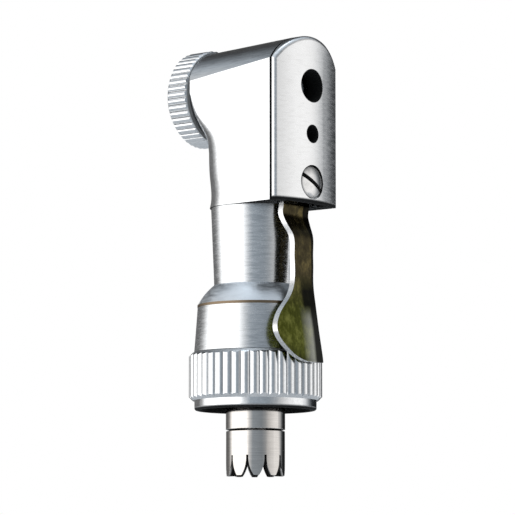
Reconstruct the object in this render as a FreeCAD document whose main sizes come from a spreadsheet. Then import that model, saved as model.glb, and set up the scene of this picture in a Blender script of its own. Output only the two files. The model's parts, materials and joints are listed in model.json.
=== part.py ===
"""Latch-type contra angle handpiece head, as separate pieces, in millimetres.

Frame: the neck's axis is Z with the head at the top, and the bur's axis is X with the bur's
mouth towards -X. The origin is on the neck's axis, at the mouth of the coupling nut.
"""
import FreeCAD, Part
import math
import os
import re
import Sketcher

SIZES = {
    # heights along the neck, from the coupling nut's mouth
    "bur_axis_z": 26.5,
    "pivot_z": 18.5,
    "oil_hole_z": 22.5,
    "head_foot_z": 16.8,
    "neck_foot_z": 10.35,
    "cone_foot_z": 8.72,
    "sleeve_top_z": 8.5,
    "sleeve_shoulder_z": 4.8,
    "sleeve_foot_z": 2.6,
    "core_foot_z": 6.0,
    "flange_foot_z": 1.8,
    "tube_end_z": -1.6,
    "crown_top_z": -1.72,
    "crown_floor_z": -3.2,
    "crown_slot_z": -3.75,
    "crown_tip_z": -5.4,
    # head block
    "head_front_x": -4.05,
    "head_back_x": 5.0,
    "front_half_width": 3.85,
    "front_rise": 3.8,
    "front_arch": 4.05,
    "back_half_width": 4.0,
    "back_rise": 4.15,
    "back_arch": 4.8,
    "chamber_radius": 3.1,
    "cap_socket_radius": 3.3,
    "cap_socket_x": -3.35,
    "bearing_seat_x": 2.68,
    "bearing_seat_radius": 2.9,
    "end_wall_x": 3.6,
    "end_wall_radius": 1.75,
    "pocket_x": 3.8,
    "pocket_half_width": 3.2,
    "pocket_rise": 3.2,
    "pocket_arch": 4.0,
    "shaft_bore_radius": 2.9,
    # rear cover
    "cover_crest_x": 6.2,
    "cover_crown_radius": 11.0,
    "cover_rim": 0.38,
    "seam_width": 0.12,
    "seam_depth": 0.14,
    "plug_x": 4.55,
    "plug_gap": 0.03,
    "bur_window_radius": 1.36,
    "oil_hole_radius": 0.735,
    "screw_face_x": 5.75,
    "screw_face_radius": 1.42,
    "cover_cavity_x": 5.6,
    "cover_cavity_half_width": 2.5,
    "cover_cavity_top_z": 17.5,
    # pivot screw, its bush and washer
    "screw_radius": 0.78,
    "screw_tip_x": 3.05,
    "screw_head_x": 5.75,
    "screw_head_radius": 1.3,
    "screw_head_rim": 0.283,
    "screw_head_top": 0.5,
    "screw_dome_radius": 4.0,
    "screw_slot_width": 0.36,
    "screw_slot_depth": 0.34,
    "screw_slot_turn": 63,
    "bush_radius": 1.12,
    "latch_hole_radius": 1.15,
    "washer_radius": 1.5,
    "washer_x": 4.37,
    # latch lever
    "latch_x": 3.83,
    "latch_thickness": 0.5,
    "latch_half_width": 1.65,
    "latch_hook_back": 1.7,
    "latch_hook_tip": 0.15,
    "latch_notch_radius": 0.8,
    "latch_top_z": 28.0,
    # front cap
    "cap_front_x": -6.5,
    "cap_radius": 4.05,
    "cap_valley_radius": 3.84,
    "cap_ridge_radius": 0.3,
    "cap_ridges": 44,
    "cap_chamfer": 0.3,
    "cap_mouth_radius": 1.75,
    "cap_lip_x": -6.35,
    "seal_radius": 2.45,
    "seal_bore_radius": 1.6,
    "seal_end_x": -5.9,
    "cap_seat_x": -5.8,
    "preload_inner_radius": 2.5,
    "preload_end_x": -5.64,
    # head bearings
    "head_bearing_width": 0.9,
    "front_bearing_x": -5.6,
    "rear_bearing_x": 2.7,
    "head_inner_radius": 1.55,
    "head_inner_track": 2.0,
    "head_ball_circle": 2.25,
    "head_ball_radius": 0.3,
    "head_outer_track": 2.5,
    "head_outer_radius": 2.9,
    "head_balls": 9,
    # shaft bearing
    "shaft_bearing_width": 0.8,
    "shaft_bearing_z": -1.45,
    "shaft_inner_radius": 0.9,
    "shaft_inner_track": 1.2,
    "shaft_ball_circle": 1.45,
    "shaft_ball_radius": 0.26,
    "shaft_outer_track": 1.7,
    "shaft_outer_radius": 2.05,
    "shaft_balls": 7,
    # both kinds of bearing
    "track_gap": 0.02,
    "cage_gap": 0.015,
    "cage_half_thickness": 0.07,
    "cage_end_gap": 0.03,
    # bur tube and its drive insert
    "bur_bore_radius": 1.19,
    "bur_tube_radius": 1.55,
    "bur_tube_front_x": -6.38,
    "bur_tube_back_x": 3.7,
    "bur_collar_x": -4.7,
    "bur_collar_end_x": -4.4,
    "bur_collar_radius": 1.95,
    "insert_seat_x": 2.36,
    "insert_x": 2.4,
    "insert_radius": 1.36,
    "insert_flat": 0.55,
    # miter gears
    "gear_teeth": 12,
    "gear_radius": 2.4,
    "gear_inner_radius": 1.8,
    "gear_addendum": 0.3,
    "gear_dedendum": 0.36,
    "gear_gap": 0.76,
    "gear_flank_slope": 0.4,
    "pinion_hub_radius": 1.8,
    "pinion_hub_depth": 3.45,
    "driven_hub_radius": 2.0,
    "driven_back_depth": 2.68,
    # drive shaft
    "shaft_radius": 1.1,
    "shaft_journal_radius": 0.9,
    "shaft_step_z": -0.62,
    "shaft_pinion_z": 23.05,
    "shaft_top_z": 24.45,
    "shaft_foot_z": -3.4,
    "shaft_bush_bore": 1.13,
    "shaft_bush_foot_z": 19.6,
    "shaft_bush_top_z": 22.9,
    # neck, cone, marker ring and sleeve
    "neck_top_radius": 3.7,
    "neck_foot_radius": 3.43,
    "neck_bore": 2.3,
    "neck_spigot_top_z": 19.5,
    "core_radius": 3.0,
    "cone_top_radius": 3.46,
    "cone_foot_radius": 4.78,
    "cone_bulge": 5.0,
    "marker_radius": 4.82,
    "sleeve_top_radius": 4.8,
    "sleeve_shoulder_radius": 5.08,
    "journal_radius": 4.2,
    "ring_groove_radius": 4.0,
    "ring_foot_z": 2.95,
    "ring_top_z": 3.5,
    "ring_radius": 4.65,
    # bearing tube
    "tube_radius": 2.45,
    "tube_bore": 1.5,
    "tube_flange_radius": 4.2,
    "tube_spigot_radius": 3.2,
    "tube_spigot_top_z": 5.9,
    "tube_rim": 0.05,
    # coupling nut
    "nut_top_z": 4.75,
    "nut_knurl_foot_z": 0.8,
    "nut_radius": 5.52,
    "nut_valley_radius": 5.3,
    "nut_ridge_radius": 0.5,
    "nut_ridges": 43,
    "nut_chamfer": 0.32,
    "nut_collar_radius": 5.05,
    "nut_corner": 0.18,
    "nut_web_z": 3.6,
    "nut_web_bore": 4.26,
    "nut_cavity_radius": 4.75,
    "nut_thread_top_z": 2.85,
    "nut_thread_radius": 4.6,
    # crown gear
    "crown_radius": 2.43,
    "crown_bore": 1.7,
    "crown_teeth": 10,
    "crown_slot_half": 0.1,
    "crown_gap_half": 0.6,
    "crown_flank_radius": 2.6,
    "crown_rim": 0.05,
    "crown_turn": -11.6,
}

UPRIGHT = FreeCAD.Rotation()
ACROSS = FreeCAD.Rotation(FreeCAD.Vector(0, 1, 0), 90)

doc = FreeCAD.newDocument("handpiece_head")
sheet = doc.addObject("Spreadsheet::Sheet", "Sizes")
for row, (alias, value) in enumerate(SIZES.items(), start=1):
    sheet.set("A%d" % row, alias)
    sheet.set("B%d" % row, str(value))
    sheet.setAlias("B%d" % row, alias)
doc.recompute()
pieces = []


def size(formula):
    """The value of a formula of sheet names."""
    return float(sheet.evalExpression(formula))


def linked(formula):
    """The same formula as an expression that other objects can hold."""
    return re.sub(r"[a-z]\w*", r"Sizes.\g<0>", formula)


def bind(thing, **formulas):
    """Ties properties of a thing to formulas of sheet names."""
    for name, formula in formulas.items():
        thing.setExpression(name.replace("__", "."), linked(formula))
    return thing


def place(thing, x="0", z="0", turn=UPRIGHT):
    thing.Placement = FreeCAD.Placement(FreeCAD.Vector(size(x), 0, size(z)), turn)
    bind(thing, Placement__Base__x=x, Placement__Base__z=z)
    return thing


def piece(thing, label):
    """Names a finished sub-part; its label is its node and its file."""
    thing.Label = label
    pieces.append(thing)
    return thing


# Sketched features ---------------------------------------------------------------------------

def origin_part(body, role):
    return next(part for part in body.Origin.OriginFeatures if part.Role == role)


def pin_point(sketch, edge, end, corner):
    """Fixes one point of a sketch at a pair of formulas."""
    for name, line, formula in zip(("DistanceX", "DistanceY"), (-2, -1), corner):
        if abs(size(formula)) < 1e-9:
            sketch.addConstraint(Sketcher.Constraint("PointOnObject", edge, end, line))
        else:
            index = sketch.addConstraint(Sketcher.Constraint(name, -1, 1, edge, end, size(formula)))
            sketch.setExpression("Constraints[%d]" % index, linked(formula))


def bulged(start, end, radius):
    """An arc of the given radius that stands out to the right of the way from start to end."""
    chord = end - start
    outward = FreeCAD.Vector(chord.y, -chord.x, 0).normalize()
    rise = radius - math.sqrt(radius ** 2 - (chord.Length / 2) ** 2)
    return Part.Arc(start, (start + end) * 0.5 + outward * rise, end)


def outline(body, name, plane, corners):
    """A closed sketch. A corner is two formulas, and a third makes the edge after it an arc."""
    sketch = body.newObject("Sketcher::SketchObject", name)
    sketch.AttachmentSupport = [(origin_part(body, plane), "")]
    sketch.MapMode = "FlatFace"
    points = [FreeCAD.Vector(size(corner[0]), size(corner[1]), 0) for corner in corners]
    first_ends = []
    for index, corner in enumerate(corners):
        start, end = points[index], points[(index + 1) % len(points)]
        if len(corner) == 3:
            sketch.addGeometry(bulged(start, end, size(corner[2])))
        else:
            sketch.addGeometry(Part.LineSegment(start, end))
        forward = sketch.getPoint(index, 1).distanceToPoint(start) < 1e-6
        first_ends.append(1 if forward else 2)
    for index, corner in enumerate(corners):
        after = (index + 1) % len(corners)
        last_end = 3 - first_ends[index]
        sketch.addConstraint(Sketcher.Constraint("Coincident", index, last_end, after, first_ends[after]))
        pin_point(sketch, index, first_ends[index], corner[:2])
    for index, corner in enumerate(corners):
        if len(corner) == 3:
            radius = sketch.addConstraint(Sketcher.Constraint("Radius", index, size(corner[2])))
            sketch.setExpression("Constraints[%d]" % radius, linked(corner[2]))
    return sketch


def round_sketch(body, name, plane, centre, radius):
    sketch = body.newObject("Sketcher::SketchObject", name)
    sketch.AttachmentSupport = [(origin_part(body, plane), "")]
    sketch.MapMode = "FlatFace"
    middle = FreeCAD.Vector(size(centre[0]), size(centre[1]), 0)
    sketch.addGeometry(Part.Circle(middle, FreeCAD.Vector(0, 0, 1), size(radius)))
    pin_point(sketch, 0, 3, centre)
    index = sketch.addConstraint(Sketcher.Constraint("Radius", 0, size(radius)))
    sketch.setExpression("Constraints[%d]" % index, linked(radius))
    return sketch


def feature(body, kind, name, sketch, **settings):
    made = body.newObject("PartDesign::" + kind, name)
    made.Profile = sketch
    for setting, value in settings.items():
        setattr(made, setting, value)
    return made


def around(body, made, sketch, count):
    """Repeats a feature evenly round the piece's own axis."""
    pattern = body.newObject("PartDesign::PolarPattern", made.Name + "_ring")
    pattern.Originals = [made]
    pattern.Axis = (sketch, ["V_Axis"])
    pattern.Angle = 360
    pattern.Occurrences = int(size(count))
    bind(pattern, Occurrences=count)
    body.Tip = pattern
    return pattern


def turned(label, corners, turn=UPRIGHT, z="0"):
    """A turned piece: an outline of radii and lengths, revolved about the piece's own axis."""
    body = piece(doc.addObject("PartDesign::Body", label), label)
    sketch = outline(body, label + "_outline", "XZ_Plane", corners)
    feature(body, "Revolution", label + "_turning", sketch, ReferenceAxis=(sketch, ["V_Axis"]), Angle=360)
    place(body, z="bur_axis_z" if turn is ACROSS else z, turn=turn)
    return body


def tube(label, bore, radius, low, high, turn=UPRIGHT, z="0"):
    return turned(label, [(bore, low), (radius, low), (radius, high), (bore, high)], turn, z)


def grooved(body, name, corners):
    """Turns a groove into a piece."""
    sketch = outline(body, name, "XZ_Plane", corners)
    return feature(body, "Groove", name + "_cut", sketch, ReferenceAxis=(sketch, ["V_Axis"]), Angle=360)


def knurled(body, name, radius, ridge, count, low, high, chamfer):
    """Straight rounded ridges round a turned piece, chamfered at both ends."""
    ridge_outline = round_sketch(body, name + "_ridge", "XY_Plane", ("%s - %s" % (radius, ridge), "0"), ridge)
    bind(ridge_outline, AttachmentOffset__Base__z=low)
    ridge_pad = feature(body, "Pad", name + "_pad", ridge_outline, Length=size("%s - %s" % (high, low)))
    bind(ridge_pad, Length="%s - (%s)" % (high, low))
    axis_sketch = next(item for item in body.Group if item.Name.endswith("_outline"))
    around(body, ridge_pad, axis_sketch, count)
    inner, outer = "%s - %s" % (radius, chamfer), "%s + %s" % (radius, chamfer)
    cuts = (
        grooved(body, name + "_top",
                [(inner, high), (outer, "%s - 2 * %s" % (high, chamfer)), (outer, high)]),
        grooved(body, name + "_low", [(inner, low), (outer, low), (outer, "%s + 2 * %s" % (low, chamfer))]),
    )
    body.Tip = cuts[-1]


# Plain solids and booleans -------------------------------------------------------------------

def solid(kind, name, **formulas):
    return bind(doc.addObject("Part::" + kind, name), **formulas)


def rod_along_x(name, radius, low, high, z):
    rod = solid("Cylinder", name, Radius=radius, Height="%s - (%s)" % (high, low))
    return place(rod, x=low, z=z, turn=ACROSS)


def rod_along_z(name, radius, low, high):
    rod = solid("Cylinder", name, Radius=radius, Height="%s - (%s)" % (high, low))
    return place(rod, z=low)


def joined(name, shapes):
    made = doc.addObject("Part::MultiFuse", name)
    made.Shapes = shapes
    return made


def shared(name, shapes):
    made = doc.addObject("Part::MultiCommon", name)
    made.Shapes = shapes
    return made


def cut(name, base, tool):
    made = doc.addObject("Part::Cut", name)
    made.Base = base
    made.Tool = tool
    return made


def fixed_shape(name, shape):
    made = doc.addObject("Part::Feature", name)
    made.Shape = shape
    return made


def loft(name, wires, ruled):
    made = doc.addObject("Part::Loft", name)
    made.Sections = [fixed_shape("%s_section_%d" % (name, index), wire) for index, wire in enumerate(wires)]
    made.Solid = True
    made.Ruled = ruled
    return made


def slab_along_x(name, wire, depth):
    made = doc.addObject("Part::Extrusion", name)
    made.Base = fixed_shape(name + "_outline", wire)
    made.Dir = FreeCAD.Vector(1, 0, 0)
    made.Solid = True
    made.LengthFwd = size(depth)
    bind(made, LengthFwd=depth)
    return made


# Head block ----------------------------------------------------------------------------------

def arched(x, half_width, rise, arch, foot_z):
    """The head seen from its end: a flat foot and upright sides under an arched top."""
    axis_z = size("bur_axis_z")
    shoulder_z = axis_z + rise - arch + math.sqrt(arch ** 2 - half_width ** 2)
    foot = [FreeCAD.Vector(x, side * half_width, foot_z) for side in (-1, 1)]
    shoulder = [FreeCAD.Vector(x, side * half_width, shoulder_z) for side in (-1, 1)]
    crown = FreeCAD.Vector(x, 0, axis_z + rise)
    return Part.Wire([
        Part.makeLine(foot[0], foot[1]),
        Part.makeLine(foot[1], shoulder[1]),
        Part.Arc(shoulder[1], crown, shoulder[0]).toShape(),
        Part.makeLine(shoulder[0], foot[0]),
    ])


def plan(z, front_x, corner):
    """The head seen from above at one height: square at the back, rounded at the front."""
    back_x = size("head_back_x") + 0.1
    back_y = size("back_half_width") + 0.02
    side_y = size("front_half_width") + 0.01
    diagonal = corner * (1 - math.sqrt(0.5))
    left, right = [
        (
            FreeCAD.Vector(back_x, side * back_y, z),
            FreeCAD.Vector(front_x + corner, side * side_y, z),
            FreeCAD.Vector(front_x + diagonal, side * (side_y - diagonal), z),
            FreeCAD.Vector(front_x, side * (side_y - corner), z),
        )
        for side in (-1, 1)
    ]
    return Part.Wire([
        Part.makeLine(left[0], right[0]),
        Part.makeLine(right[0], right[1]),
        Part.Arc(right[1], right[2], right[3]).toShape(),
        Part.makeLine(right[3], left[3]),
        Part.Arc(left[3], left[2], left[1]).toShape(),
        Part.makeLine(left[1], left[0]),
    ])


def head_casing():
    """Square-shouldered at the bur's level and rounded to the neck's width below it."""
    foot_z, axis_z, front_x = size("head_foot_z"), size("bur_axis_z"), size("head_front_x")
    ends = [
        arched(front_x, size("front_half_width"), size("front_rise"), size("front_arch"), foot_z),
        arched(size("head_back_x"), size("back_half_width"), size("back_rise"), size("back_arch"), foot_z),
    ]
    corner_growth = [(9.7, 0.3, 3.8), (6.8, 0.3, 3.75), (5.0, 0.35, 3.5), (3.9, 0.36, 3.1),
                     (2.1, 0.15, 1.3), (1.0, 0.05, 0.6), (0.0, 0.0, 0.2)]
    levels = [plan(axis_z - drop, front_x + inset, corner) for drop, inset, corner in corner_growth]
    upper = [plan(axis_z, front_x, 0.2), plan(axis_z + 5, front_x, 0.2)]
    shaped = joined("casing_plan", [loft("casing_lower", levels, False), loft("casing_upper", upper, True)])
    blank = shared("casing_blank", [loft("casing_sides", ends, True), shaped])
    pocket_outline = arched(size("pocket_x"), size("pocket_half_width"), size("pocket_rise"),
                            size("pocket_arch"), foot_z - 1)
    hollows = joined("casing_hollows", [
        rod_along_x("cap_socket", "cap_socket_radius", "head_front_x - 1", "cap_socket_x", "bur_axis_z"),
        rod_along_x("gear_chamber", "chamber_radius", "cap_socket_x - 0.1", "bearing_seat_x", "bur_axis_z"),
        rod_along_x("bearing_seat", "bearing_seat_radius",
                    "bearing_seat_x - 0.1", "end_wall_x", "bur_axis_z"),
        rod_along_x("tube_window", "end_wall_radius", "end_wall_x - 0.1", "pocket_x + 0.1", "bur_axis_z"),
        rod_along_z("shaft_bore", "shaft_bore_radius", "head_foot_z - 1", "bur_axis_z"),
        rod_along_x("screw_thread", "screw_radius", "screw_tip_x", "pocket_x + 0.1", "pivot_z"),
        slab_along_x("latch_pocket", pocket_outline, "head_back_x - pocket_x + 1"),
    ])
    piece(cut("head_casing", blank, hollows), "head_casing")


def rear_cover():
    """A crowned plate with a plug behind it that closes the latch's pocket."""
    back_x, foot_z = size("head_back_x"), size("head_foot_z")
    rim_outline = arched(back_x, size("back_half_width"), size("back_rise"), size("back_arch"), foot_z)
    slab = slab_along_x("cover_slab", rim_outline, "cover_crest_x - head_back_x + 0.1")
    bind(slab, Placement__Base__x="seam_width")
    crown = solid("Cylinder", "cover_crown", Radius="cover_crown_radius", Height="bur_axis_z")
    place(crown, x="cover_crest_x - cover_crown_radius", z="head_foot_z - 1")
    plate = shared("cover_plate", [slab, crown])
    doc.recompute()
    rounded = doc.addObject("Part::Fillet", "cover_rounded")
    rounded.Base = plate
    radius = size("cover_rim")
    rounded.Edges = [
        (index, radius, radius) for index, edge in enumerate(plate.Shape.Edges, start=1)
        if edge.BoundBox.XMin > back_x + 0.2 and edge.BoundBox.ZMax > foot_z + 0.1
    ]
    depth = size("seam_depth")
    seam = slab_along_x("cover_seam", arched(
        back_x, size("back_half_width") - depth, size("back_rise") - depth,
        size("back_arch") - depth, foot_z),
        "seam_width + 0.2")
    gap = size("plug_gap")
    plug_outline = arched(size("plug_x"), size("pocket_half_width") - gap, size("pocket_rise") - gap,
                          size("pocket_arch") - gap, foot_z)
    plug = slab_along_x("cover_plug", plug_outline, "head_back_x - plug_x + 0.2")
    cavity = solid("Box", "cover_cavity", Length="cover_cavity_x - plug_x + 1",
                   Width="2 * cover_cavity_half_width", Height="cover_cavity_top_z - head_foot_z + 1")
    place(cavity, x="plug_x - 1", z="head_foot_z - 1")
    cavity.Placement.Base.y = -size("cover_cavity_half_width")
    bind(cavity, Placement__Base__y="-cover_cavity_half_width")
    hollows = joined("cover_hollows", [
        rod_along_x("bur_window", "bur_window_radius", "plug_x - 1", "cover_crest_x + 1", "bur_axis_z"),
        rod_along_x("oil_hole", "oil_hole_radius", "plug_x - 1", "cover_crest_x + 1", "oil_hole_z"),
        rod_along_x("screw_hole", "screw_radius", "plug_x - 1", "cover_crest_x + 1", "pivot_z"),
        rod_along_x("screw_face", "screw_face_radius", "screw_face_x", "cover_crest_x + 1", "pivot_z"),
        cavity,
    ])
    piece(cut("rear_cover", joined("cover_solid", [rounded, seam, plug]), hollows), "rear_cover")


def pivot_screw():
    """Slotted screw with a low domed head."""
    low, high = "screw_head_x", "screw_head_x + screw_head_top"
    body = turned("pivot_screw", [
        ("0", "screw_tip_x"), ("screw_radius", "screw_tip_x"), ("screw_radius", low),
        ("screw_head_radius", low), ("screw_head_radius", low + " + screw_head_rim", "screw_dome_radius"),
        ("0", high),
    ], ACROSS)
    place(body, z="pivot_z", turn=ACROSS)
    slot = outline(body, "screw_slot", "XY_Plane", [
        ("-2 * screw_head_radius", "-screw_slot_width / 2"),
        ("2 * screw_head_radius", "-screw_slot_width / 2"),
        ("2 * screw_head_radius", "screw_slot_width / 2"), ("-2 * screw_head_radius", "screw_slot_width / 2"),
    ])
    slot.AttachmentOffset = FreeCAD.Placement(
        FreeCAD.Vector(0, 0, 0), FreeCAD.Rotation(FreeCAD.Vector(0, 0, 1), size("screw_slot_turn")))
    bind(slot, AttachmentOffset__Base__z=high + " - screw_slot_depth")
    feature(body, "Pocket", "screw_slot_cut", slot, Type="ThroughAll", Reversed=True)


# Latch ---------------------------------------------------------------------------------------

def strip_section(z, outer_x, near_y, far_y, cup):
    """The lever cut across at one height: a strip bent towards the neck at its near edge."""
    inner_x = outer_x - size("latch_thickness")
    middle_y = (near_y + far_y) / 2
    ends = [FreeCAD.Vector(outer_x - cup, near_y, z), FreeCAD.Vector(outer_x, far_y, z),
            FreeCAD.Vector(inner_x, far_y, z), FreeCAD.Vector(inner_x - cup, near_y, z)]
    sag = cup / 2 + 0.001
    outer_middle = FreeCAD.Vector(outer_x - cup / 2 + sag, middle_y, z)
    inner_middle = FreeCAD.Vector(inner_x - cup / 2 + sag, middle_y, z)
    return Part.Wire([
        Part.Arc(ends[0], outer_middle, ends[1]).toShape(),
        Part.makeLine(ends[1], ends[2]),
        Part.Arc(ends[2], inner_middle, ends[3]).toShape(),
        Part.makeLine(ends[3], ends[0]),
    ])


def latch_plate_outline():
    """The flat upper end: wide at the pivot, with a hook whose notch holds the bur's groove."""
    x, half, tip = size("latch_x"), size("latch_half_width"), size("latch_hook_tip")
    back, notch, axis_z = size("latch_hook_back"), size("latch_notch_radius"), size("bur_axis_z")
    foot_z, top_z = size("head_foot_z"), size("latch_top_z")
    corners = [(-half, foot_z), (half, foot_z), (half, axis_z - 3.7), (tip, axis_z - 2.3),
               (tip, axis_z - notch), (0, axis_z - notch)]
    after = [(0, axis_z + notch), (tip, axis_z + notch), (tip, top_z), (1 - back, top_z),
             (-back, top_z - 1), (-back, axis_z - 4), (-half, foot_z)]
    before_notch = [FreeCAD.Vector(x, y, z) for y, z in corners]
    after_notch = [FreeCAD.Vector(x, y, z) for y, z in after]
    notch_arc = Part.Arc(before_notch[-1], FreeCAD.Vector(x, -notch, axis_z), after_notch[0])
    return Part.Wire([
        Part.makePolygon(before_notch), notch_arc.toShape(), Part.makePolygon(after_notch)])


def latch_lever():
    """One piece of bent sheet: hook plate, narrow arm, and a finger pad with a wing to one side."""
    face_x = size("latch_x + latch_thickness")
    half = size("latch_half_width")
    sections = [
        (16.95, face_x, -half, half, 0),
        (16.2, face_x + 0.01, -half + 0.02, half - 0.01, 0),
        (15.7, face_x + 0.07, -1.61, 1.6, 0),
        (15.2, face_x + 0.3, -1.55, 1.51, 0),
        (14.7, face_x + 0.58, -1.44, 1.38, 0),
        (14.1, face_x + 0.85, -1.3, 1.25, 0),
        (13.4, face_x + 0.93, -1.23, 1.18, 0),
        (11.5, face_x + 0.95, -1.22, 1.15, 0),
        (9.9, face_x + 1.0, -1.42, 1.12, 0),
        (9.1, face_x + 1.13, -1.9, 1.1, 0.05),
        (8.2, face_x + 1.32, -2.8, 1.05, 0.15),
        (7.2, face_x + 1.52, -3.62, 1.0, 0.27),
        (6.3, face_x + 1.67, -3.93, 1.0, 0.31),
        (5.5, face_x + 1.79, -3.75, 1.03, 0.24),
        (4.8, face_x + 1.89, -3.22, 1.08, 0.1),
        (4.25, face_x + 1.95, -2.5, 1.12, 0.02),
        (3.9, face_x + 2.0, -1.7, 1.12, 0),
        (3.7, face_x + 2.03, -0.8, 1.08, 0),
    ]
    arm = loft("latch_arm", [strip_section(*section) for section in sections], False)
    plate = slab_along_x("latch_plate", latch_plate_outline(), "latch_thickness")
    hole = rod_along_x("latch_hole", "latch_hole_radius", "latch_x - 1", "latch_x + 2", "pivot_z")
    piece(cut("latch_lever", joined("latch_sheet", [plate, arm]), hole), "latch_lever")


# Bearings ------------------------------------------------------------------------------------

def race(label, bore, radius, width, ball_circle, ball_radius, turn, at):
    """A bearing race with its ball track."""
    body = tube(label, bore, radius, at, "%s + %s" % (at, width), turn)
    centre = (ball_circle, "%s + %s / 2" % (at, width))
    track = round_sketch(body, label + "_track", "XZ_Plane", centre, "%s + track_gap" % ball_radius)
    feature(body, "Groove", label + "_track_cut", track, ReferenceAxis=(track, ["V_Axis"]), Angle=360)


def balls(label, kind, width, turn, at):
    """A bearing's balls, each a solid of its own."""
    count = int(size(kind + "_balls"))
    spheres = []
    for index in range(count):
        angle = 2 * math.pi * index / count
        ball = solid("Sphere", "%s_%d" % (label, index), Radius=kind + "_ball_radius")
        radius = size(kind + "_ball_circle")
        middle = size("%s + %s / 2" % (at, width))
        ball.Placement.Base = FreeCAD.Vector(radius * math.cos(angle), radius * math.sin(angle), middle)
        spheres.append(ball)
    group = doc.addObject("Part::Compound", label)
    group.Links = spheres
    place(piece(group, label), z="bur_axis_z" if turn is ACROSS else "0", turn=turn)


def cage(label, kind, width, turn, at):
    """A thin ring between the races with a round pocket for each ball."""
    circle = kind + "_ball_circle"
    middle = "%s + %s / 2" % (at, width)
    body = tube(label, circle + " - cage_half_thickness", circle + " + cage_half_thickness",
                at + " + cage_end_gap", "%s + %s - cage_end_gap" % (at, width), turn)
    pocket = round_sketch(body, label + "_pocket", "YZ_Plane", ("0", middle),
                          kind + "_ball_radius + cage_gap")
    pocket_cut = feature(body, "Pocket", label + "_pocket_cut", pocket, Type="ThroughAll", Reversed=True)
    around(body, pocket_cut, body.Group[0], kind + "_balls")


def bearing(name, kind, width, turn, at):
    ball_circle, ball_radius = kind + "_ball_circle", kind + "_ball_radius"
    race(name + "_outer_race", kind + "_outer_track", kind + "_outer_radius", width,
         ball_circle, ball_radius, turn, at)
    race(name + "_inner_race", kind + "_inner_radius", kind + "_inner_track", width,
         ball_circle, ball_radius, turn, at)
    balls(name + "_balls", kind, width, turn, at)
    cage(name + "_cage", kind, width, turn, at)


# Gears ---------------------------------------------------------------------------------------

def miter_gear(hub_radius, hub_depth, back_depth, bore, turned_by):
    """A 45 degree bevel gear about Z whose cones meet at the origin, with the gear below it."""
    teeth, outer, inner = int(size("gear_teeth")), size("gear_radius"), size("gear_inner_radius")
    tip, root = size("gear_addendum") * math.sqrt(0.5), size("gear_dedendum") * math.sqrt(0.5)
    shrink = inner / outer
    profile = [
        (bore, -inner - root * shrink), (inner - root * shrink, -inner - root * shrink),
        (inner + tip * shrink, -inner + tip * shrink), (outer + tip, -outer + tip),
        (outer - root, -outer - root), (hub_radius, -back_depth), (hub_radius, -hub_depth),
        (bore, -hub_depth),
    ]
    corners = [FreeCAD.Vector(radius, 0, z) for radius, z in profile]
    blank = Part.Face(Part.makePolygon(corners + corners[:1])).revolve(
        FreeCAD.Vector(0, 0, 0), FreeCAD.Vector(0, 0, 1), 360)
    along = FreeCAD.Vector(1, 0, -1).normalize()
    outward = FreeCAD.Vector(1, 0, 1).normalize()
    sideways = FreeCAD.Vector(0, 1, 0)
    cone_length = outer * math.sqrt(2)
    gap_half, slope = size("gear_gap") / 2, size("gear_flank_slope")
    heights = (-size("gear_dedendum"), size("gear_addendum") * 1.6)

    def gap_section(scale):
        points = [
            (along * cone_length + outward * height + sideways * side * (gap_half + slope * height)) * scale
            for side, height in ((-1, heights[0]), (1, heights[0]), (1, heights[1]), (-1, heights[1]))
        ]
        return Part.makePolygon(points + points[:1])

    gap = Part.makeLoft([gap_section(shrink * 0.8), gap_section(1.25)], True, True)
    gaps = []
    for index in range(teeth):
        turned_gap = gap.copy()
        angle = turned_by + 360 * (index + 0.5) / teeth
        turned_gap.rotate(FreeCAD.Vector(0, 0, 0), FreeCAD.Vector(0, 0, 1), angle)
        gaps.append(turned_gap)
    return blank.cut(Part.makeCompound(gaps))


def gears():
    """Two equal gears: a tooth of the pinion stands in a gap of the driven gear."""
    pinion = fixed_shape("pinion", miter_gear(
        size("pinion_hub_radius"), size("pinion_hub_depth"), size("gear_radius") + 0.3,
        size("shaft_journal_radius"), 0))
    place(piece(pinion, "pinion"), z="bur_axis_z")
    driven = fixed_shape("driven_gear", miter_gear(
        size("driven_hub_radius"), size("driven_back_depth"), size("driven_back_depth"),
        size("bur_tube_radius"), 180 / size("gear_teeth")))
    facing_back = FreeCAD.Rotation(FreeCAD.Vector(0, 1, 0), -90)
    place(piece(driven, "driven_gear"), z="bur_axis_z", turn=facing_back)


def crown_gear():
    """A cup with long pointed teeth at its mouth, pressed on the drive shaft's foot."""
    body = turned("crown_gear", [
        ("shaft_journal_radius", "crown_floor_z"), ("crown_bore", "crown_floor_z"),
        ("crown_bore", "crown_tip_z"), ("crown_radius", "crown_tip_z"),
        ("crown_radius", "crown_top_z - crown_rim", "crown_rim"), ("crown_radius - crown_rim", "crown_top_z"),
        ("shaft_journal_radius", "crown_top_z"),
    ])
    slot = outline(body, "crown_slot", "XZ_Plane", [
        ("-crown_gap_half", "crown_tip_z - 0.1", "crown_flank_radius"), ("-crown_slot_half", "crown_slot_z"),
        ("crown_slot_half", "crown_slot_z", "crown_flank_radius"), ("crown_gap_half", "crown_tip_z - 0.1"),
    ])
    feature(body, "Pocket", "crown_slot_cut", slot, Type="ThroughAll", Reversed=False)
    around(body, doc.getObject("crown_slot_cut"), body.Group[0], "crown_teeth")
    place(body, turn=FreeCAD.Rotation(FreeCAD.Vector(0, 0, 1), size("crown_turn")))


# Turned pieces -------------------------------------------------------------------------------

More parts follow.
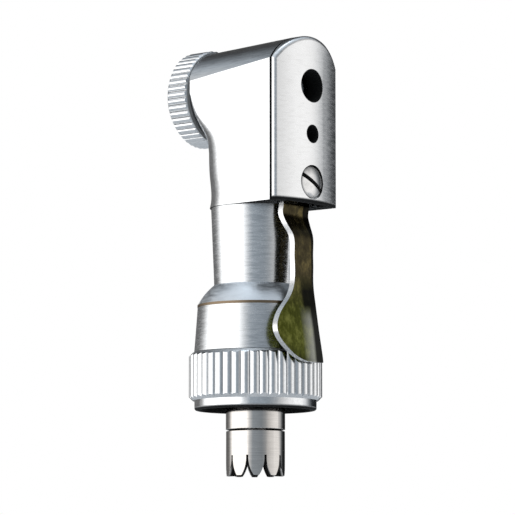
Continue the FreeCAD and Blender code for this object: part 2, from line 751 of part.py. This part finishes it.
def front_cap():
    """Knurled cap that screws into the head and holds the front bearing and its seal."""
    body = turned("front_cap", [
        ("cap_mouth_radius", "cap_front_x"), ("cap_valley_radius", "cap_front_x"),
        ("cap_valley_radius", "head_front_x"), ("cap_socket_radius", "head_front_x"),
        ("cap_socket_radius", "cap_socket_x"), ("head_outer_radius", "cap_socket_x"),
        ("head_outer_radius", "cap_seat_x"), ("seal_radius", "cap_seat_x"),
        ("seal_radius", "cap_lip_x"), ("cap_mouth_radius", "cap_lip_x"),
    ], ACROSS)
    knurled(body, "cap_knurl", "cap_radius", "cap_ridge_radius", "cap_ridges",
            "cap_front_x", "head_front_x", "cap_chamfer")


def coupling_nut():
    """Knurled nut that turns freely on the sleeve and draws the head onto its driver."""
    body = turned("coupling_nut", [
        ("nut_thread_radius", "0"), ("nut_collar_radius - nut_corner", "0", "nut_corner"),
        ("nut_collar_radius", "nut_corner"), ("nut_collar_radius", "nut_knurl_foot_z"),
        ("nut_valley_radius", "nut_knurl_foot_z"), ("nut_valley_radius", "nut_top_z"),
        ("nut_web_bore", "nut_top_z"), ("nut_web_bore", "nut_web_z"),
        ("nut_cavity_radius", "nut_web_z"), ("nut_cavity_radius", "nut_thread_top_z"),
        ("nut_thread_radius", "nut_thread_top_z"),
    ])
    knurled(body, "nut_knurl", "nut_radius", "nut_ridge_radius", "nut_ridges",
            "nut_knurl_foot_z", "nut_top_z", "nut_chamfer")
    body.Tip = grooved(body, "nut_hollow", [
        ("nut_web_bore", "0"), ("nut_thread_radius", "0"), ("nut_thread_radius", "nut_thread_top_z"),
        ("nut_cavity_radius", "nut_thread_top_z"), ("nut_cavity_radius", "nut_web_z"),
        ("nut_web_bore", "nut_web_z"),
    ])


def neck():
    turned("neck_tube", [
        ("neck_bore", "core_foot_z"), ("core_radius", "core_foot_z"), ("core_radius", "neck_foot_z"),
        ("neck_foot_radius", "neck_foot_z"), ("neck_top_radius", "head_foot_z"),
        ("shaft_bore_radius", "head_foot_z"), ("shaft_bore_radius", "neck_spigot_top_z"),
        ("neck_bore", "neck_spigot_top_z"),
    ])
    turned("neck_cone", [
        ("core_radius", "cone_foot_z"), ("cone_foot_radius", "cone_foot_z", "cone_bulge"),
        ("cone_top_radius", "neck_foot_z"), ("core_radius", "neck_foot_z"),
    ])
    tube("marker_ring", "core_radius", "marker_radius", "sleeve_top_z", "cone_foot_z")
    turned("lower_sleeve", [
        ("tube_spigot_radius", "sleeve_foot_z"), ("journal_radius", "sleeve_foot_z"),
        ("journal_radius", "ring_foot_z"), ("ring_groove_radius", "ring_foot_z"),
        ("ring_groove_radius", "ring_top_z"), ("journal_radius", "ring_top_z"),
        ("journal_radius", "sleeve_shoulder_z"), ("sleeve_shoulder_radius", "sleeve_shoulder_z"),
        ("sleeve_top_radius", "sleeve_top_z"), ("core_radius", "sleeve_top_z"),
        ("core_radius", "core_foot_z"), ("tube_spigot_radius", "core_foot_z"),
    ])
    tube("nut_retaining_ring", "ring_groove_radius", "ring_radius", "ring_foot_z", "ring_top_z")


def bearing_tube():
    seat_top_z = "shaft_bearing_z + shaft_bearing_width"
    turned("bearing_tube", [
        ("shaft_outer_radius", "tube_end_z"), ("tube_radius - tube_rim", "tube_end_z", "tube_rim"),
        ("tube_radius", "tube_end_z + tube_rim"), ("tube_radius", "flange_foot_z"),
        ("tube_flange_radius", "flange_foot_z"), ("tube_flange_radius", "sleeve_foot_z"),
        ("tube_spigot_radius", "sleeve_foot_z"), ("tube_spigot_radius", "tube_spigot_top_z"),
        ("tube_bore", "tube_spigot_top_z"), ("tube_bore", seat_top_z), ("shaft_outer_radius", seat_top_z),
    ])


def drive_shaft():
    turned("drive_shaft", [
        ("0", "shaft_foot_z"), ("shaft_journal_radius", "shaft_foot_z"),
        ("shaft_journal_radius", "shaft_step_z"), ("shaft_radius", "shaft_step_z"),
        ("shaft_radius", "shaft_pinion_z"), ("shaft_journal_radius", "shaft_pinion_z"),
        ("shaft_journal_radius", "shaft_top_z"), ("0", "shaft_top_z"),
    ])
    tube("upper_shaft_bush", "shaft_bush_bore", "shaft_bore_radius", "shaft_bush_foot_z", "shaft_bush_top_z")


def spindle():
    turned("bur_tube", [
        ("bur_bore_radius", "bur_tube_front_x"), ("bur_tube_radius", "bur_tube_front_x"),
        ("bur_tube_radius", "bur_collar_x"), ("bur_collar_radius", "bur_collar_x"),
        ("bur_collar_radius", "bur_collar_end_x"), ("bur_tube_radius", "bur_collar_end_x"),
        ("bur_tube_radius", "bur_tube_back_x"), ("insert_radius", "bur_tube_back_x"),
        ("insert_radius", "insert_seat_x"), ("bur_bore_radius", "insert_seat_x"),
    ], ACROSS)
    core = rod_along_x("insert_core", "insert_radius", "insert_x", "bur_tube_back_x", "bur_axis_z")
    flat = solid("Box", "insert_flat", Length="bur_tube_back_x - insert_x + 1",
                 Width="4 * insert_radius", Height="2 * insert_radius")
    place(flat, x="insert_x - 0.5", z="bur_axis_z + insert_flat")
    bind(flat, Placement__Base__y="-2 * insert_radius")
    piece(shared("drive_insert", [core, flat]), "drive_insert")
    tube("front_seal", "seal_bore_radius", "seal_radius", "cap_lip_x", "seal_end_x", ACROSS)
    tube("preload_washer", "preload_inner_radius", "head_outer_radius", "cap_seat_x", "preload_end_x", ACROSS)


def pivot_fittings():
    for label, bore, radius, low in (
            ("pivot_bush", "screw_radius", "bush_radius", "pocket_x"),
            ("spring_washer", "latch_hole_radius", "washer_radius", "washer_x")):
        body = tube(label, bore, radius, low, "plug_x", ACROSS)
        place(body, z="pivot_z", turn=ACROSS)


# Building and writing ------------------------------------------------------------------------

def build():
    head_casing()
    rear_cover()
    pivot_screw()
    pivot_fittings()
    latch_lever()
    front_cap()
    neck()
    bearing_tube()
    coupling_nut()
    drive_shaft()
    crown_gear()
    spindle()
    gears()
    bearing("front", "head", "head_bearing_width", ACROSS, "front_bearing_x")
    bearing("rear", "head", "head_bearing_width", ACROSS, "rear_bearing_x")
    bearing("shaft", "shaft", "shaft_bearing_width", UPRIGHT, "shaft_bearing_z")
    doc.recompute()


def write():
    faulty = [item.Name for item in doc.Objects if {"Invalid", "Error"} & set(item.State)]
    if faulty:
        raise RuntimeError("failed to build: " + ", ".join(faulty))
    os.makedirs("parts", exist_ok=True)
    for item in pieces:
        if item.Shape.isNull() or not item.Shape.isValid() or not item.Shape.Solids:
            raise RuntimeError("bad shape: " + item.Label)
        item.Shape.exportStep("parts/%s.step" % item.Label)
        box = item.Shape.BoundBox
        print("%-20s %2d solids %9.3f mm3  x %6.2f %6.2f  y %6.2f %6.2f  z %6.2f %6.2f" % (
            item.Label, len(item.Shape.Solids), item.Shape.Volume,
            box.XMin, box.XMax, box.YMin, box.YMax, box.ZMin, box.ZMax))


build()
write()
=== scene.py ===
"""Looks of the latch-type contra angle handpiece head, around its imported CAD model.

Lengths are in metres, except where millimetres are named.
"""

import json
import math

import bpy
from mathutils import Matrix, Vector


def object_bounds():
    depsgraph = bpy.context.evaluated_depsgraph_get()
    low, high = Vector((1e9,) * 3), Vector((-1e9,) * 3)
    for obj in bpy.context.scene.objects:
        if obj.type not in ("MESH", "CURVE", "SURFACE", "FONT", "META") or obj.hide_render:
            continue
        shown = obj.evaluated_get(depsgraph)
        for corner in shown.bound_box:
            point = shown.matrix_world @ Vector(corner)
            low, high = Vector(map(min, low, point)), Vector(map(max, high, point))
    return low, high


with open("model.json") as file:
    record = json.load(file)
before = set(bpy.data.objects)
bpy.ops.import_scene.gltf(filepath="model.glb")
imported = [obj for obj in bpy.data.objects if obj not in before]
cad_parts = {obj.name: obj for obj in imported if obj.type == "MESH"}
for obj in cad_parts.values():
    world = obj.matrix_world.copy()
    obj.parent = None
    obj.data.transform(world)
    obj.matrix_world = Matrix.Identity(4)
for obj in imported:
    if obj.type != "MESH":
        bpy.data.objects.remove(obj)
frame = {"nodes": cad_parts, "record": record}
cad_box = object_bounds()

MM = 0.001
NODES = frame["nodes"]

# Camera: a long lens, lower than the object and looking up a little, so that the cover, the
# pivot screw and one flat side show
VIEW_AZIMUTH = math.radians(40.5)
VIEW_ELEVATION = math.radians(-6.4)
VIEW_DISTANCE = 267.6 * MM
VIEW_LENS = 225.2
VIEW_CENTRE_Z = 12.73 * MM
VIEW_SIDESTEP = 0.166 * MM
FLOOR_DROP = 14.5 * MM
FLOOR_SIZE = 300 * MM

# Places on the object, in millimetres
HEAD_FOOT_Z = 16.8
BUR_AXIS_Z = 26.5
BUR_WINDOW_RADIUS = 1.36
OIL_HOLE_Z = 22.5
OIL_HOLE_RADIUS = 0.735
ABOVE_NUT_Z = 9.0
BELOW_CAP_Z = 15.0

# Grain per metre along each axis: the faint clouds on metal, and the grain of non-metals
CLOUDS = (350, 350, 350)
FINE_GRAIN = (8000, 8000, 8000)
# How strongly every bump shows, and what is left of a colour under painted shade
BUMP_STRENGTH = 0.35
DARK_SHARE = 0.06

# Light on the walls by azimuth from -Y towards +X: (degrees, level, blueness)
STUDIO_BANDS = [
    (-112, 0.16, 1.0), (-94, 0.16, 1.0), (-82, 0.34, 1.0), (-62, 1.7, 1.0), (6, 1.7, 1.0),
    (18, 0.8, 1.03), (30, 0.38, 1.12), (64, 0.3, 1.12), (80, 0.4, 1.05), (94, 0.68, 1.0),
    (108, 0.9, 1.0), (122, 1.05, 1.0), (140, 1.05, 1.0), (150, 0.7, 1.02), (160, 0.26, 1.06),
    (170, 0.05, 1.1), (184, 0.01, 1.1), (212, 0.03, 1.0), (232, 0.16, 1.0),
]
# How that light falls off with height: (sine of the elevation, level)
STUDIO_WALL = [(0.3, 1.0), (0.5, 0.34), (0.65, 0.2), (0.8, 0.1)]
# The ceiling by height, its tint, and how much of it there is by azimuth
STUDIO_CEILING = [
    (0.45, 0.0), (0.58, 0.16), (0.68, 0.38), (0.82, 0.6), (0.955, 0.66), (0.985, 1.9), (1.0, 2.6)]
CEILING_TINT = (0.89, 1.0, 1.11)
CEILING_SPREAD = [
    (-140, 0.03), (-119, 0.06), (-100, 0.38), (-86, 0.75), (-66, 1.0), (150, 1.0), (190, 0.2)]


# Node helpers ---------------------------------------------------------------------------------

def colour_ramp(tree, source, stops):
    """A colour ramp between stops of (position, colour)."""
    node = tree.nodes.new("ShaderNodeValToRGB")
    elements = node.color_ramp.elements
    while len(elements) < len(stops):
        elements.new(0.5)
    for element, (position, colour) in zip(elements, sorted(stops)):
        element.position = position
        element.color = (*colour, 1.0)
    tree.links.new(source, node.inputs["Fac"])
    return node.outputs["Color"]


class Nodes:
    """A material's node tree with a Principled shader, and short ways to add to it."""

    def __init__(self, name, **shader_values):
        self.material = bpy.data.materials.new(name)
        self.material.use_nodes = True
        self.tree = self.material.node_tree
        self.shader = self.tree.nodes["Principled BSDF"]
        for socket, value in shader_values.items():
            self.shader.inputs[socket.replace("_", " ")].default_value = value
        self.place = self.add("ShaderNodeTexCoord").outputs["Object"]

    def add(self, kind, **settings):
        node = self.tree.nodes.new(kind)
        for name, value in settings.items():
            setattr(node, name, value)
        return node

    def join(self, source, target):
        self.tree.links.new(source, target)

    def stretched(self, stretch):
        """Object coordinates, multiplied along each axis."""
        mapping = self.add("ShaderNodeMapping")
        mapping.inputs["Scale"].default_value = stretch
        self.join(self.place, mapping.inputs["Vector"])
        return mapping.outputs["Vector"]

    def noise(self, stretch, detail=4.0, roughness=0.6):
        """Noise whose grain is 1/stretch metres long along each axis."""
        texture = self.add("ShaderNodeTexNoise")
        texture.inputs["Scale"].default_value = 1.0
        texture.inputs["Detail"].default_value = detail
        texture.inputs["Roughness"].default_value = roughness
        self.join(self.stretched(stretch), texture.inputs["Vector"])
        return texture.outputs["Fac"]

    def ramp(self, source, *stops):
        """A colour ramp in this material."""
        return colour_ramp(self.tree, source, stops)

    def spread(self, source, low, high, start=0.3, end=0.7):
        """Turns a value between start and end into a number between low and high."""
        node = self.add("ShaderNodeMapRange")
        ends = (("From Min", start), ("From Max", end), ("To Min", low), ("To Max", high))
        for socket, value in ends:
            node.inputs[socket].default_value = value
        self.join(source, node.inputs["Value"])
        return node.outputs["Result"]

    def above(self, source, start, end, most=1.0):
        """A mask of 0 up to start millimetres and of most from end millimetres."""
        return self.spread(source, 0.0, most, start * MM, end * MM)

    def below(self, source, start, end, most=1.0):
        """A mask of most up to start millimetres and of 0 from end millimetres."""
        return self.spread(source, most, 0.0, start * MM, end * MM)

    def along(self, axis):
        """Object coordinate along one axis, in metres."""
        split = self.add("ShaderNodeSeparateXYZ")
        self.join(self.place, split.inputs["Vector"])
        return split.outputs[axis]

    def from_line(self, centre, across):
        """Distance in metres from a line through the centre.

        across is 0 for the axis the line runs along and 1 for the others.
        """
        moved = self.add("ShaderNodeVectorMath", operation="SUBTRACT")
        self.join(self.place, moved.inputs[0])
        moved.inputs[1].default_value = centre
        flat = self.add("ShaderNodeVectorMath", operation="MULTIPLY")
        self.join(moved.outputs["Vector"], flat.inputs[0])
        flat.inputs[1].default_value = across
        length = self.add("ShaderNodeVectorMath", operation="LENGTH")
        self.join(flat.outputs["Vector"], length.inputs[0])
        return length.outputs["Value"]

    def facing(self, axis):
        """How far the surface faces along one axis of the object, from -1 to 1."""
        split = self.add("ShaderNodeSeparateXYZ")
        self.join(self.add("ShaderNodeTexCoord").outputs["Normal"], split.inputs["Vector"])
        return split.outputs[axis]

    def calculated(self, operation, *sources):
        """The result of one Math node."""
        node = self.add("ShaderNodeMath", operation=operation)
        for source, socket in zip(sources, node.inputs):
            self.join(source, socket)
        return node.outputs["Value"]

    def either(self, *masks):
        """Where at least one mask is 1."""
        whole = masks[0]
        for mask in masks[1:]:
            whole = self.calculated("MAXIMUM", whole, mask)
        return whole

    def both(self, first, second):
        """Where both masks are 1."""
        return self.calculated("MULTIPLY", first, second)

    def darkened(self, source, mask):
        """Paints shade: leaves only the dark share of a colour where the mask is 1."""
        painted_shade = self.add("ShaderNodeMix", data_type="RGBA", blend_type="MULTIPLY")
        painted_shade.inputs["Factor"].default_value = 1.0
        self.join(source, painted_shade.inputs["A"])
        painted_shade.inputs["B"].default_value = (DARK_SHARE, DARK_SHARE, DARK_SHARE, 1.0)
        return self.mix(mask, source, painted_shade.outputs["Result"])

    def mix(self, factor, first, second):
        """The first colour where the factor is 0, the second where it is 1."""
        node = self.add("ShaderNodeMix", data_type="RGBA")
        self.join(factor, node.inputs["Factor"])
        self.join(first, node.inputs["A"])
        self.join(second, node.inputs["B"])
        return node.outputs["Result"]

    def bump(self, height, depth):
        """Raises the surface by up to depth metres in shading only."""
        node = self.add("ShaderNodeBump")
        node.inputs["Distance"].default_value = depth
        node.inputs["Strength"].default_value = BUMP_STRENGTH
        self.join(height, node.inputs["Height"])
        self.join(node.outputs["Normal"], self.shader.inputs["Normal"])

    def colour(self, source):
        self.join(source, self.shader.inputs["Base Color"])

    def roughness(self, source):
        self.join(source, self.shader.inputs["Roughness"])


def grey(value, warmth=0.0):
    """A grey, turned towards orange by its warmth or towards blue by a negative one."""
    return (value * (1 + warmth), value, value * (1 - warmth))


def metal(name, tone, warmth, rough, grain, depth=0.002 * MM, contrast=0.14, shadows=None):
    """Metal with fine grain, which becomes brushed lines where one axis has far less of it.

    grain is per metre along each axis, and shadows gives the mask of painted shade, where the metal
    is dark and rough.
    """
    nodes = Nodes(name, Metallic=1.0)
    lines = nodes.noise(grain, detail=3.0)
    clouds = nodes.noise(CLOUDS, detail=3.0)
    dark = tone * (1 - contrast)
    bright_lines = nodes.ramp(
        lines, (0.3, grey(dark, warmth)), (0.5, grey(tone, warmth)), (0.7, grey(tone * 1.05, warmth)))
    soft_lines = nodes.ramp(
        lines, (0.3, grey(dark * 0.93, warmth)), (0.7, grey(tone * 0.98, warmth)))
    colour = nodes.mix(clouds, bright_lines, soft_lines)
    gloss = nodes.spread(lines, rough * 0.75, rough * 1.25)
    if shadows:
        # Painted shade: the colour darkens and the surface turns rough where the shadows mask is 1
        shade_mask = shadows(nodes)
        colour = nodes.darkened(colour, shade_mask)
        gloss = nodes.either(gloss, shade_mask)
    nodes.colour(colour)
    nodes.roughness(gloss)
    nodes.bump(lines, depth)
    return nodes.material


# Painted shade on the metals: dark, rough places ----------------------------------------------

def underside(nodes):
    """Surfaces that face down, which get painted shade."""
    return nodes.spread(nodes.facing("Z"), 1.0, 0.0, -0.4, -0.12)


def casing_shadows(nodes):
    """The head's underside and the edge of the casing along its seam with the cover."""
    height = nodes.along("Z")
    head = nodes.above(height, HEAD_FOOT_Z - 0.2, HEAD_FOOT_Z - 0.1)
    seam_edge = nodes.both(nodes.above(nodes.along("X"), 4.9, 4.94), head)
    foot = nodes.both(head, nodes.below(height, HEAD_FOOT_Z + 0.4, HEAD_FOOT_Z + 0.6))
    return nodes.either(seam_edge, nodes.both(underside(nodes), foot))


def cover_shadows(nodes):
    """The walls of the cover's two holes, its plug and seam, its foot and its underside."""
    holes = [
        nodes.below(nodes.from_line((0, 0, height * MM), (0, 1, 1)), radius + 0.02, radius + 0.05)
        for height, radius in ((BUR_AXIS_Z, BUR_WINDOW_RADIUS), (OIL_HOLE_Z, OIL_HOLE_RADIUS))
    ]
    plug_and_seam = nodes.below(nodes.along("X"), 5.14, 5.2)
    foot = nodes.below(nodes.along("Z"), HEAD_FOOT_Z + 0.18, HEAD_FOOT_Z + 0.35)
    return nodes.either(*holes, plug_and_seam, foot, underside(nodes))


def knurl_shadows(nodes):
    """Painted shade in all that lies within the coupling nut's mouth, on its lower lip, and between
    the ridges.
    """
    radius = nodes.from_line((0, 0, 0), (1, 1, 0))
    height = nodes.along("Z")
    on_nut = nodes.below(height, ABOVE_NUT_Z, ABOVE_NUT_Z + 0.2)
    on_cap = nodes.above(height, BELOW_CAP_Z, BELOW_CAP_Z + 0.2)
    mouth = nodes.both(nodes.below(radius, 4.66, 4.86), on_nut)
    lip = nodes.below(height, 0.12, 0.3)
    above_collar = nodes.above(height, 1.15, 1.25)
    nut_grooves = nodes.both(nodes.below(radius, 5.34, 5.44, 0.45), nodes.both(above_collar, on_nut))
    cap_radius = nodes.from_line((0, 0, BUR_AXIS_Z * MM), (0, 1, 1))
    cap_grooves = nodes.both(nodes.below(cap_radius, 3.87, 3.95, 0.75), on_cap)
    return nodes.either(mouth, lip, nut_grooves, cap_grooves)


def crown_shadows(nodes):
    """The hollow of the crown gear and the far sides of its slots."""
    return nodes.below(nodes.from_line((0, 0, 0), (1, 1, 0)), 2.2, 2.4)


def slot_floor_shade(nodes):
    """Painted shade on the bottom of the pivot screw's slot."""
    return nodes.below(nodes.along("X"), 6.0, 6.1)


# Materials ------------------------------------------------------------------------------------

def lever_steel():
    """Dark warm sheet, mottled, with bright cut edges on the near side, painted shade on the far one
    and inside the head, and a painted highlight streak.
    """
    nodes = Nodes("lever_steel", Metallic=1.0)
    mottle = nodes.noise((900, 900, 600), detail=7.0, roughness=0.75)
    streaks = nodes.noise((9000, 9000, 900), detail=3.0)
    brown = nodes.ramp(
        mottle, (0.3, (0.018, 0.013, 0.006)), (0.5, (0.055, 0.044, 0.02)), (0.7, (0.2, 0.155, 0.06)))
    olive = nodes.ramp(
        mottle, (0.3, (0.02, 0.022, 0.003)), (0.5, (0.062, 0.07, 0.01)), (0.7, (0.19, 0.2, 0.05)))
    bright_edge = nodes.ramp(streaks, (0.3, grey(0.72)), (0.7, grey(0.92)))

    height, across = nodes.along("Z"), nodes.along("Y")
    face = nodes.mix(nodes.below(height, 8.0, 11.0), brown, olive)
    # A painted highlight: a lighter streak across the low part of the sheet
    painted_highlight = nodes.both(nodes.above(across, -1.2, -0.1, 0.3), nodes.below(height, 7.2, 8.4))
    cut = nodes.spread(nodes.calculated("ABSOLUTE", nodes.facing("X")), 1.0, 0.0, 0.25, 0.45)
    lit = nodes.mix(cut, nodes.mix(painted_highlight, face, bright_edge), bright_edge)

    # Painted shade: the far edge, the far sides of the pad and the bend, and the part inside the head
    far_edge = nodes.above(across, 0.84, 0.94)
    far_side_of_pad = nodes.both(nodes.above(across, 0.05, 0.35), nodes.below(height, 8.5, 10.5))
    bend = nodes.both(nodes.above(height, 7.6, 8.4), nodes.below(height, 9.6, 10.8))
    far_side_of_bend = nodes.both(nodes.above(across, -0.9, -0.4), bend)
    in_head = nodes.above(height, HEAD_FOOT_Z - 0.2, HEAD_FOOT_Z + 0.6)
    painted_shade = nodes.either(nodes.either(far_edge, far_side_of_pad, far_side_of_bend), in_head)

    nodes.colour(nodes.darkened(lit, painted_shade))
    nodes.roughness(nodes.spread(streaks, 0.2, 0.36))
    nodes.bump(mottle, 0.012 * MM)
    return nodes.material


def plain(name, tones, rough):
    """A non-metal with an even fine grain."""
    nodes = Nodes(name, Metallic=0.0)
    grain = nodes.noise(FINE_GRAIN)
    nodes.colour(nodes.ramp(grain, (0.3, tones[0]), (0.7, tones[1])))
    nodes.roughness(nodes.spread(grain, *rough))
    return nodes.material


METALS = {
    "satin_nickel": dict(
        tone=0.88, warmth=-0.012, rough=0.2, grain=(700, 7000, 7000), shadows=casing_shadows),
    "brushed_cover": dict(
        tone=0.93, warmth=0.002, rough=0.25, grain=(1000, 1000, 6000), depth=0.0015 * MM,
        contrast=0.12, shadows=cover_shadows),
    "bright_knurl": dict(
        tone=0.92, warmth=-0.008, rough=0.13, grain=(4000, 4000, 4000), depth=0.001 * MM,
        contrast=0.1, shadows=knurl_shadows),
    "satin_neck": dict(
        tone=0.85, warmth=-0.015, rough=0.24, grain=(900, 900, 7000), depth=0.003 * MM, contrast=0.2),
    "copper_line": dict(tone=0.2, warmth=0.34, rough=0.4, grain=(600, 600, 9000)),
    "polished_steel": dict(
        tone=0.68, warmth=0.05, rough=0.1, grain=(500, 500, 9000), depth=0.001 * MM,
        contrast=0.12, shadows=crown_shadows),
    "screw_steel": dict(
        tone=0.86, warmth=0.015, rough=0.13, grain=(3000, 3000, 3000), depth=0.001 * MM,
        contrast=0.2, shadows=slot_floor_shade),
    "bearing_steel": dict(
        tone=0.86, warmth=0.0, rough=0.1, grain=(6000, 6000, 6000), depth=0.0005 * MM, contrast=0.08),
    "tool_steel": dict(tone=0.5, warmth=0.0, rough=0.3, grain=(6000, 6000, 6000)),
    "bronze_bush": dict(tone=0.5, warmth=0.25, rough=0.4, grain=(6000, 6000, 6000)),
    "blasted_cone": dict(
        tone=0.92, warmth=-0.03, rough=0.42, grain=(900, 900, 5000), depth=0.002 * MM, contrast=0.1),
}
# Nodes that look different from the rest of their slot
OWN_LOOK = {"neck_cone": "blasted_cone"}


def dress_nodes():
    """Gives every CAD node the material of its slot, or its own look."""
    looks = {name: metal(name, **values) for name, values in METALS.items()}
    looks["lever_steel"] = lever_steel()
    looks["seal_rubber"] = plain("seal_rubber", (grey(0.02), grey(0.045)), rough=(0.5, 0.7))
    looks["cage_polymer"] = plain(
        "cage_polymer", ((0.42, 0.3, 0.15), (0.52, 0.38, 0.2)), rough=(0.4, 0.55))
    for entry in frame["record"]["subparts"]:
        node = entry["node"]
        materials = NODES[node].data.materials
        materials.clear()
        materials.append(looks[OWN_LOOK.get(node, entry["material_slot"])])


# Stage ----------------------------------------------------------------------------------------

def camera():
    """The photograph's viewpoint."""
    right = Vector((math.cos(VIEW_AZIMUTH), math.sin(VIEW_AZIMUTH), 0))
    towards = Vector((
        math.sin(VIEW_AZIMUTH) * math.cos(VIEW_ELEVATION),
        -math.cos(VIEW_AZIMUTH) * math.cos(VIEW_ELEVATION),
        math.sin(VIEW_ELEVATION)))
    aim = Vector((0, 0, VIEW_CENTRE_Z)) + right * VIEW_SIDESTEP
    data = bpy.data.cameras.new("camera")
    data.lens = VIEW_LENS
    data.clip_start = 1 * MM
    made = bpy.data.objects.new("camera", data)
    made.location = aim + towards * VIEW_DISTANCE
    made.rotation_euler = (aim - made.location).to_track_quat("-Z", "Y").to_euler()
    bpy.context.scene.collection.objects.link(made)
    bpy.context.scene.camera = made


def floor():
    """A pale floor, so low that it stays under the camera's view."""
    low = Vector(cad_box[0])
    bpy.ops.mesh.primitive_plane_add(size=FLOOR_SIZE, location=(0, 0, low.z - FLOOR_DROP))
    plane = bpy.context.object
    plane.name = "floor"
    nodes = Nodes("floor", Roughness=0.6)
    nodes.shader.inputs["Base Color"].default_value = (0.9, 0.9, 0.9, 1)
    plane.data.materials.append(nodes.material)


def mixed_in_world(tree, blend, factor, first, second):
    """One Mix node; each source is a socket or a plain value."""
    node = tree.nodes.new("ShaderNodeMix")
    node.data_type = "RGBA"
    node.blend_type = blend
    for socket, source in (("Factor", factor), ("A", first), ("B", second)):
        if isinstance(source, (int, float, tuple)):
            node.inputs[socket].default_value = source
        else:
            tree.links.new(source, node.inputs[socket])
    return node.outputs["Result"]


def azimuth_fraction(azimuth):
    """Where an azimuth, counted from -Y towards +X, lies on a radial gradient from 0 to 1."""
    return ((azimuth - 90) / 360 + 0.5) % 1.0


def studio():
    """A pale room: bands of soft light round the horizon under a ceiling.

    The room lights and mirrors in the object, and the camera sees plain white behind it.
    """
    world = bpy.data.worlds.new("studio")
    bpy.context.scene.world = world
    world.use_nodes = True
    tree = world.node_tree
    place = tree.nodes.new("ShaderNodeTexCoord").outputs["Generated"]
    round_about = tree.nodes.new("ShaderNodeTexGradient")
    round_about.gradient_type = "RADIAL"
    tree.links.new(place, round_about.inputs["Vector"])
    height = tree.nodes.new("ShaderNodeSeparateXYZ")
    tree.links.new(place, height.inputs["Vector"])

    bands = colour_ramp(tree, round_about.outputs["Fac"], [
        (azimuth_fraction(azimuth), (level * (2 - blue), level, level * blue))
        for azimuth, level, blue in STUDIO_BANDS])
    walls = colour_ramp(tree, height.outputs["Z"], [
        (position, (level, level, level)) for position, level in STUDIO_WALL])
    height_part = colour_ramp(tree, height.outputs["Z"], [
        (position, tuple(level * share for share in CEILING_TINT))
        for position, level in STUDIO_CEILING])
    azimuth_part = colour_ramp(tree, round_about.outputs["Fac"], [
        (azimuth_fraction(azimuth), (level, level, level)) for azimuth, level in CEILING_SPREAD])
    ceiling = mixed_in_world(tree, "MULTIPLY", 1.0, height_part, azimuth_part)
    lit_walls = mixed_in_world(tree, "MULTIPLY", 1.0, bands, walls)
    room = mixed_in_world(tree, "ADD", 1.0, lit_walls, ceiling)
    seen = tree.nodes.new("ShaderNodeLightPath").outputs["Is Camera Ray"]
    shown = mixed_in_world(tree, "MIX", seen, room, (1.0, 1.0, 1.0, 1.0))
    tree.links.new(shown, tree.nodes["Background"].inputs["Color"])


dress_nodes()
camera()
floor()
studio()
bpy.context.scene.view_settings.view_transform = "Standard"
